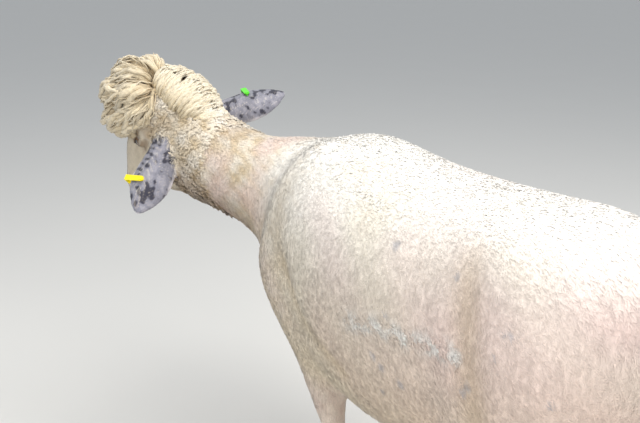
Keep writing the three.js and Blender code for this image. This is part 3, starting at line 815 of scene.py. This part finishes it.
# How thick a tuft is along its length: a lock of long wool, a short hair and a clump of fleece.
def rope(t):
    return 0.72 + 0.5 * np.sin(math.pi * np.clip(t * 0.92 + 0.06, 0, 1)) - 0.45 * t**3


def blade(t):
    return 1.0 - 0.35 * t


def clump(t):
    return 0.8 + 0.55 * np.sin(math.pi * np.clip(t, 0, 1)) - 0.35 * t


# -------- materials
def material(name):
    made = bpy.data.materials.new(name)
    made.use_nodes = True
    nodes, links = made.node_tree.nodes, made.node_tree.links
    return made, nodes, links, nodes["Principled BSDF"]


def place_node(nodes, links, scale):
    where = nodes.new("ShaderNodeTexCoord")
    stretch = nodes.new("ShaderNodeMapping")
    stretch.inputs["Scale"].default_value = scale
    links.new(where.outputs["Object"], stretch.inputs["Vector"])
    return stretch.outputs["Vector"]


def noise_node(nodes, links, scale, detail=3.0, stretch=(1, 1, 1)):
    made = nodes.new("ShaderNodeTexNoise")
    made.inputs["Scale"].default_value = scale
    made.inputs["Detail"].default_value = detail
    links.new(place_node(nodes, links, stretch), made.inputs["Vector"])
    return made.outputs["Fac"]


def math_node(nodes, links, kind, a, b):
    made = nodes.new("ShaderNodeMath")
    made.operation = kind
    for socket, value in zip(made.inputs, (a, b)):
        if isinstance(value, (int, float)):
            socket.default_value = value
        else:
            links.new(value, socket)
    return made.outputs["Value"]


def coat_material(name, roughness, sheen, shade, bumps):
    """The Tint colour, lightened and darkened by noise, over a bump of noises."""
    made, nodes, links, shader = material(name)
    shader.inputs["Roughness"].default_value = roughness
    shader.inputs["Specular IOR Level"].default_value = 0.2
    shader.inputs["Sheen Weight"].default_value = sheen
    shader.inputs["Sheen Roughness"].default_value = 0.5
    tint = nodes.new("ShaderNodeAttribute")
    tint.attribute_name = "Tint"
    low, high, scale, stretch = shade
    spread = nodes.new("ShaderNodeMapRange")
    spread.inputs["From Min"].default_value = 0.3
    spread.inputs["From Max"].default_value = 0.7
    spread.inputs["To Min"].default_value = low
    spread.inputs["To Max"].default_value = high
    links.new(noise_node(nodes, links, scale, 4.0, stretch), spread.inputs["Value"])
    scaled = nodes.new("ShaderNodeVectorMath")
    scaled.operation = "SCALE"
    links.new(tint.outputs["Color"], scaled.inputs[0])
    links.new(spread.outputs["Result"], scaled.inputs["Scale"])
    links.new(scaled.outputs["Vector"], shader.inputs["Base Color"])
    if bumps:
        total = 0.0
        for weight, size, way in bumps:
            rough = math_node(nodes, links, "MULTIPLY", noise_node(nodes, links, size, 2.0, way), weight)
            total = math_node(nodes, links, "ADD", total, rough)
        bump = nodes.new("ShaderNodeBump")
        bump.inputs["Distance"].default_value = 1.0 * MM
        bump.inputs["Strength"].default_value = 1.0
        links.new(total, bump.inputs["Height"])
        links.new(bump.outputs["Normal"], shader.inputs["Normal"])
    return made


def plain_material(name, colour, roughness, coat=0.0, variation=0.12, scale=60.0, stretch=(1, 1, 1)):
    made, nodes, links, shader = material(name)
    shader.inputs["Roughness"].default_value = roughness
    shader.inputs["Coat Weight"].default_value = coat
    ramp = nodes.new("ShaderNodeMix")
    ramp.data_type = "RGBA"
    ramp.inputs["A"].default_value = (*np.clip(colour * (1 - variation), 0, 1), 1)
    ramp.inputs["B"].default_value = (*np.clip(colour * (1 + variation), 0, 1), 1)
    links.new(noise_node(nodes, links, scale, 3.0, stretch), ramp.inputs["Factor"])
    links.new(ramp.outputs["Result"], shader.inputs["Base Color"])
    return made


# Roughness, sheen, (darkest, lightest, noise scale, its stretch) and bumps of (height, scale, stretch).
SKIN_BUMPS = [(1.6, 320, (1, 1, 0.35)), (1.2, 900, (1, 1, 0.5))]
SKIN_LOOK = coat_material("shorn_skin", 0.85, 0.15, (0.88, 1.06, 90.0, (1, 1, 0.25)), SKIN_BUMPS)
STUBBLE_LOOK = coat_material("stubble", 0.8, 0.2, (0.9, 1.08, 120.0, (1, 1, 0.3)), [])
WOOL_LOOK = coat_material("wool", 0.7, 0.3, (0.82, 1.1, 160.0, (1, 1, 1)), [(1.5, 1100, (1, 1, 1))])
HAIR_LOOK = coat_material("short_hair", 0.6, 0.15, (0.85, 1.1, 200.0, (1, 1, 1)), [])

skin.data.materials.clear()
skin.data.materials.append(SKIN_LOOK)
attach(skin, "root")
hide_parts(*FLESH)


def around(colour, amount, count):
    """Each tuft a little lighter or darker than the coat it grows from."""
    return np.clip(colour * (1 + RNG.normal(size=(count, 1)) * amount), 0, 1)


def mop_shell(local):
    """How far out each point of the head's frame is in the mop of the forelock, 1 being its surface."""
    return np.linalg.norm((local - MOP_AT) / MOP_HALF, axis=-1)


FEW = 1e-9  # keeps every density above zero


def simple_coat(
    name, look, count, density, length, width, rise, spread,
    steps=1, sides=3, sag=0.0, curl=0.0, pitch=0.02, profile=blade,
    tone=0.05, root_shade=0.93, tip_shade=1.12, soft=0.6, shorter=False,
):
    """A coat of tufts on the skin. Shorter makes them so towards the shoulder."""
    roots = Roots(count, density + FEW)
    way = flow(roots, spread)
    size = RNG.uniform(0.7, 1.3, count)
    if shorter:
        size = size * (0.6 + 0.4 * smooth(0.22, 0.36, roots.p[:, 0]))
    path = strands(roots, way, length * size, steps, rise * RNG.uniform(0.7, 1.3, count), sag, curl, pitch)
    # Each tuft darker at its root and lighter at its tip: painted shade at the base of the coat and painted light
    # on the tips.
    root_colour = around(roots.colour * root_shade, tone, count)
    tip_colour = np.clip(root_colour * tip_shade, 0, 1)
    return tufts(
        name, path, roots.n, roots.uv, root_colour, tip_colour, width * size, sides, profile, look,
        flat=0.6, soft=soft,
    )


# Shorn fleece all over the trunk, in left and right pieces.
left = (FACING[:, 1] > 0).astype(float)
shorn = ZONES.body + 0.4 * ZONES.leg * (MIDDLES[:, 2] > 0.26)
for side, share in (("left", left), ("right", 1 - left)):
    simple_coat(
        f"stubble_{side}", STUBBLE_LOOK, count=36000, density=shorn * share,
        length=7.5 * MM, width=2.0 * MM, rise=0.5, spread=0.45,
        tone=0.03, root_shade=0.98, tip_shade=1.04, soft=0.85,
    )

# Ridges of longer fleece that the shears left, with a few flecks along the withers.
ridge = sum(np.exp(-((from_line(MIDDLES, line) / width) ** 2)) for line, width in RIDGES)
withers = smooth(0.60, 0.80, FACING[:, 2]) * smooth(-0.10, 0.0, MIDDLES[:, 0]) * smooth(0.24, 0.12, MIDDLES[:, 0])
flecks = smooth(0.55, 0.9, waves(MIDDLES, 0.07, 51, 2)) * smooth(-0.35, 0.0, MIDDLES[:, 0])
simple_coat(
    "fleece_ridges", WOOL_LOOK, count=2200,
    density=ZONES.body * (ridge + 0.06 * withers + 0.02 * flecks),
    length=7 * MM, width=2.4 * MM, rise=0.35, spread=0.6, steps=3, sides=4, curl=0.6 * MM, pitch=0.010,
    profile=clump, root_shade=0.99, tip_shade=1.06, soft=0.88,
)

# Neck: short clumpy fleece, finer towards the shoulder, over fuzz.
nearer_head = smooth(0.20, 0.40, MIDDLES[:, 0])
simple_coat(
    "neck_fleece", WOOL_LOOK, count=8000, density=ZONES.neck * (0.35 + 0.65 * nearer_head),
    length=8 * MM, width=2.8 * MM, rise=0.45, spread=0.5, steps=2, sides=4,
    profile=clump, tone=0.04, root_shade=0.97, tip_shade=1.07, soft=0.8, shorter=True,
)
simple_coat(
    "neck_fuzz", STUBBLE_LOOK, count=26000, density=ZONES.neck + 0.6 * ZONES.poll,
    length=7.5 * MM, width=1.9 * MM, rise=0.5, spread=0.55,
    tone=0.04, root_shade=0.98, tip_shade=1.05, soft=0.85, shorter=True,
)

# Cheeks and the back of the head, where the wool is deeper.
behind_mop = 1 - smooth(1.16, 1.04, mop_shell(ZONES.h))
simple_coat(
    "poll_fleece", WOOL_LOOK, count=6000, density=ZONES.poll * behind_mop,
    length=11 * MM, width=3.4 * MM, rise=0.7, spread=0.5, steps=3, sides=4, sag=0.15, curl=1.0 * MM, pitch=0.012,
    profile=clump, tone=0.05, root_shade=0.95, tip_shade=1.1, soft=0.72,
)

# Short hair on the face, legs and ears.
behind_nose = smooth(250 * MM, 225 * MM, ZONES.h[:, 0])
simple_coat(
    "face_hair", HAIR_LOOK, count=14000, density=ZONES.face * behind_nose,
    length=5 * MM, width=1.1 * MM, rise=0.22, spread=0.18,
)
simple_coat(
    "leg_hair", HAIR_LOOK, count=16000, density=ZONES.leg,
    length=6 * MM, width=1.4 * MM, rise=0.2, spread=0.2,
)
simple_coat(
    "ear_hair", HAIR_LOOK, count=9000, density=ZONES.ear,
    length=2.2 * MM, width=0.8 * MM, rise=0.10, spread=0.12, root_shade=0.98, tip_shade=1.03, soft=0.8,
)


# -------- the forelock
def on_mop(directions, shell):
    p = directions * MOP_HALF * shell[..., None]
    p = p - np.stack([MOP_SWEEP * p[..., 2], np.zeros(p.shape[:-1]), MOP_HANG * p[..., 0]], -1)
    return from_head(p + MOP_AT)


BROW = 40 * MM  # how high the forelock's lower rim is above the middle of the head
FRINGE = 28 * MM  # and how much higher it is out in front of the forehead
CLEAR = 5 * MM  # how far the middles of the forelock's ropes stay from the skin


def above_brow(path):
    """Lifts what would hang over the eyes up to the level of the brow."""
    local = in_head(path)
    ahead = local[..., 0]
    brow = BROW * smooth(15 * MM, 50 * MM, ahead) + FRINGE * smooth(60 * MM, 110 * MM, ahead)
    under = brow > local[..., 2]
    local[..., 2] = np.where(under, brow + 0.2 * (local[..., 2] - brow), local[..., 2])
    return from_head(local)


WHORL = np.array([-0.83, 0.02, -0.57])  # the way to the whorl from the middle of the mop


def mop(name, count, steps, sides, width, inner, outer, curl, pitch, reach, nodes=()):
    """Ropes of wool that run from a whorl on the poll over the mop and hang at its rim."""
    pole = unit(WHORL)
    right = unit(np.cross(pole, np.array([0, 1.0, 0])))
    ahead = np.cross(pole, right)
    turn_by = RNG.uniform(0, 2 * math.pi, count)
    start = RNG.uniform(0.15, 1.5, count)
    span = RNG.uniform(reach[0], reach[1], count)
    t = np.linspace(0, 1, steps + 1)[None]
    polar = np.minimum(start[:, None] + span[:, None] * t, 2.7)
    drift = RNG.normal(size=count)[:, None] * 0.30 * t + turn_by[:, None]
    directions = (
        np.cos(polar)[..., None] * pole
        + np.sin(polar)[..., None] * (np.cos(drift)[..., None] * right + np.sin(drift)[..., None] * ahead)
    )
    full = RNG.uniform(inner, outer, count)[:, None]
    lump = 0.05 * np.sin(7 * drift + 3 * polar)
    shell = (full + lump) * (0.80 + 0.20 * np.sin(math.pi * np.clip(t * 1.1, 0, 1)) ** 0.6)
    shell = shell - RNG.uniform(0.0, 0.22, count)[:, None] * t**4
    shell = shell * (1 + 0.3 * np.maximum(np.cos(polar), 0) ** 2)
    path = on_mop(directions, shell)
    path[..., 2] -= RNG.uniform(0, 10, count)[:, None] * MM * t**3
    path = clear_of_skin(above_brow(path), CLEAR)
    up = unit(path - from_head(MOP_AT))
    tangent = unit(np.gradient(path, axis=1))
    length = np.linalg.norm(np.diff(path, axis=1), axis=2).sum(1)
    path = waved(path, unit(np.cross(tangent, up)), up, length, curl, pitch)
    roots = nearest_roots(path[:, 0])
    tone = 1 + RNG.normal(size=(count, 1)) * 0.10
    # Ropes that lie deeper in the mop get darker roots and tips: painted shade between the ropes.
    deep = smooth(outer, inner, full[:, 0])
    root_colour = np.clip(mix(LOCK_ROOT_SHADE, LOCK, 0.75 - 0.6 * deep) * tone, 0, 1)
    tip_colour = np.clip(mix(LOCK, WHITE, 0.45 - 0.45 * deep) * tone * (1 - 0.25 * deep)[:, None], 0, 1)
    widths = width * RNG.uniform(0.7, 1.25, count)
    return tufts(
        name, path, up, UNWRAP[roots], root_colour, tip_colour, widths, sides, rope, WOOL_LOOK,
        nodes=nodes,
    )


def nearest_roots(points):
    """The corner of the skin nearest to each point."""
    some = np.flatnonzero(ZONES.head > 0.3)[::5]
    gap = np.linalg.norm(points[:, None] - MIDDLES[some][None], axis=2)
    return CORNERS[some[gap.argmin(1)], 0]


mop(
    "forelock_locks", 620, steps=18, sides=5, width=9.5 * MM, inner=0.70, outer=0.98,
    curl=2.8 * MM, pitch=0.040, reach=(0.9, 1.7), nodes=("forelock",),
)
mop(
    "forelock_wisps", 320, steps=14, sides=4, width=3.0 * MM, inner=0.84, outer=1.02,
    curl=3.2 * MM, pitch=0.032, reach=(0.6, 1.4),
)

# The crest: locks that stand side by side up both flanks of the wool on the poll and nape.
def crest(name, count, stations, sides, width, nodes):
    along = RNG.uniform(-0.95, 0.85, count)[:, None]
    side = RNG.choice([-1.0, 1.0], count)[:, None]
    t = np.linspace(0, 1, stations)[None]
    low = np.radians(RNG.uniform(45, 95, count))[:, None]
    high = np.radians(RNG.uniform(-14, 26, count))[:, None]
    angle = side * (low * (1 - t) + high * t)
    lean = along + RNG.normal(size=(count, 1)) * 0.05 * t
    ring = np.sqrt(np.maximum(1 - lean**2, 0.02))
    shell = RNG.uniform(0.86, 0.98, count)[:, None] + 0.09 * t - 0.10 * (1 - t) ** 2
    local = np.stack([-ring * np.cos(angle), ring * np.sin(angle), lean], -1) * shell[..., None] * CREST_HALF
    path = from_head(local + CREST_AT)
    up = unit(path - from_head(CREST_AT))
    tangent = unit(np.gradient(path, axis=1))
    length = np.linalg.norm(np.diff(path, axis=1), axis=2).sum(1)
    path = clear_of_skin(waved(path, unit(np.cross(tangent, up)), up, length, 1.6 * MM, 0.024), 2 * MM)
    tone = 1 + RNG.normal(size=(count, 1)) * 0.06
    whiter = 0.35 + 0.4 * smooth(-0.5, -0.9, along[:, 0])
    roots = nearest_roots(path[:, 0])
    root_colour = np.clip(mix(LOCK_ROOT_SHADE, LOCK, 0.72) * tone, 0, 1)
    tip_colour = np.clip(mix(LOCK, WHITE, whiter) * tone, 0, 1)
    widths = width * RNG.uniform(0.7, 1.2, count)
    return tufts(
        name, path, up, UNWRAP[roots], root_colour, tip_colour, widths, sides, rope, WOOL_LOOK,
        nodes=nodes,
    )


crest("crest_locks", 520, stations=10, sides=5, width=7.0 * MM, nodes=("poll_wool",))


# -------- eyes, hooves and tags
def eye_material():
    made, nodes, links, shader = material("eye_gloss")
    shader.inputs["Roughness"].default_value = 0.08
    shader.inputs["Coat Weight"].default_value = 1.0
    iris = nodes.new("ShaderNodeAttribute")
    iris.attribute_name = "Tint"
    fleck = noise_node(nodes, links, 900.0, 3.0)
    scaled = nodes.new("ShaderNodeVectorMath")
    scaled.operation = "SCALE"
    links.new(iris.outputs["Color"], scaled.inputs[0])
    links.new(math_node(nodes, links, "ADD", fleck, 0.4), scaled.inputs["Scale"])
    links.new(scaled.outputs["Vector"], shader.inputs["Base Color"])
    return made


EYE_LOOK = eye_material()
for side, sign in (("left", 1), ("right", -1)):
    u = np.linspace(0, 2 * math.pi, 49)[:-1]
    v = np.linspace(0, math.pi, 33)
    gaze = unit(GAZE * (1, sign, 1))
    along = unit(np.array([1.0, 0, 0]) - gaze * gaze[0])
    over = np.cross(gaze, along)
    ball = (
        np.cos(v)[:, None, None] * gaze
        + np.sin(v)[:, None, None] * (np.cos(u)[None, :, None] * along + np.sin(u)[None, :, None] * over)
    )
    directions = ball.reshape(-1, 3)
    rings, around_it = len(v), len(u)
    i, j = np.meshgrid(np.arange(rings - 1), np.arange(around_it), indexing="ij")
    following = (j + 1) % around_it
    this_ring, next_ring = i * around_it, (i + 1) * around_it
    quads = np.stack([this_ring + j, next_ring + j, next_ring + following, this_ring + following], -1)
    points = directions @ HEAD_AXES.T * EYE_RADIUS + centre(f"eye_{side}")
    made = new_object(f"eyeball_{side}", points, quads.reshape(-1, 4))
    across, upwards, ahead = directions @ along, directions @ over, directions @ gaze
    pupil = smooth(1.15, 0.9, np.sqrt((across / 0.40) ** 2 + (upwards / 0.20) ** 2)) * (ahead > 0)
    iris = smooth(0.80, 0.72, np.hypot(across, upwards)) * (ahead > 0)
    colour = mix(mix(rgb("5a4a40"), rgb("6b4a22"), iris), rgb("050404"), pupil)
    paint(made.data, "Tint", colour)
    made.data.materials.append(EYE_LOOK)
    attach(made, "root")
    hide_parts(f"eye_{side}")

HORN_LOOK = plain_material("hoof_horn", rgb("5a4a3c"), 0.55, 0.0, 0.35, 90.0, (1, 1, 0.15))
for name in CLAWS:
    low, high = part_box(name)
    grid = Grid(np.array(low) - 6 * MM, np.array(high) + 6 * MM, CLAW_STEP, CLAW_BAND)
    values = grid.node(name)
    level = grid.places()[..., 2]
    rounded = blur(values, 1.3)
    values = np.maximum(rounded, low[2] - level) if name.startswith("hoof") else rounded
    made = new_object(name.replace("hoof", "claw_horn"), *grid.surface(values))
    points = vertices_of(made.data)
    points[:, 2] = np.maximum(points[:, 2], low[2])
    made.data.vertices.foreach_set("co", points.astype(np.float32).ravel())
    made.data.materials.append(HORN_LOOK)
    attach(made, "root")
    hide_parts(name)

for side, colour in (("left", "f5e11b"), ("right", "63dd2e")):
    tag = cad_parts[f"ear_tag_{side}"]
    tag.data.materials.clear()
    tag.data.materials.append(plain_material(f"tag_{side}", rgb(colour), 0.4, 0.1, 0.05))

# -------- floor, light and camera
FLOOR_HALF = 40.0
corners = np.array([[-1, -1, 0], [1, -1, 0], [1, 1, 0], [-1, 1, 0]]) * FLOOR_HALF
floor = new_object("floor", corners, np.array([[0, 1, 2, 3]]))
floor.data.materials.append(plain_material("floor_paint", rgb("d9d6d0"), 0.9, 0.0, 0.01, 3.0))

world = bpy.data.worlds.new("studio")
world.use_nodes = True
world.node_tree.nodes["Background"].inputs["Color"].default_value = (0.86, 0.92, 1.0, 1)
world.node_tree.nodes["Background"].inputs["Strength"].default_value = 0.62
bpy.context.scene.world = world


def lamp(name, at, aim, size, power, colour=(1, 1, 1)):
    data = bpy.data.lights.new(name, "AREA")
    data.shape = "SQUARE"
    data.size = size
    data.energy = power
    data.color = colour
    made = bpy.data.objects.new(name, data)
    made.location = at
    way = np.array(aim) - np.array(at)
    yaw, pitch = math.atan2(way[1], way[0]), math.atan2(-way[2], math.hypot(way[0], way[1]))
    made.rotation_mode = "XYZ"
    made.rotation_euler = (math.pi / 2 - pitch, 0, yaw - math.pi / 2)
    bpy.context.scene.collection.objects.link(made)
    return made


lamp("overhead", (-0.6, -0.3, 3.0), (0, 0, 0.5), 2.2, 80, (1, 0.99, 0.97))
lamp("rear", (-3.0, 0.5, 2.4), (-0.1, 0, 0.5), 1.8, 38, (1, 0.98, 0.96))
lamp("fill", (-0.6, 3.2, 1.8), (0.1, 0, 0.5), 2.5, 22)
bpy.context.scene.view_settings.view_transform = "Standard"

CAMERA_AT = (-1.232, 0.800, 1.061)
HEADING, PITCH, ROLL = math.radians(-31.0), math.radians(-16.98), math.radians(-0.235)
LENS = 51.75
camera_data = bpy.data.cameras.new("camera")
camera_data.sensor_width = 36.0
camera_data.lens = LENS
camera = bpy.data.objects.new("camera", camera_data)
camera.location = CAMERA_AT
camera.rotation_mode = "XYZ"
camera.rotation_euler = (math.pi / 2 + PITCH, ROLL, HEADING - math.pi / 2)
bpy.context.scene.collection.objects.link(camera)
bpy.context.scene.camera = camera
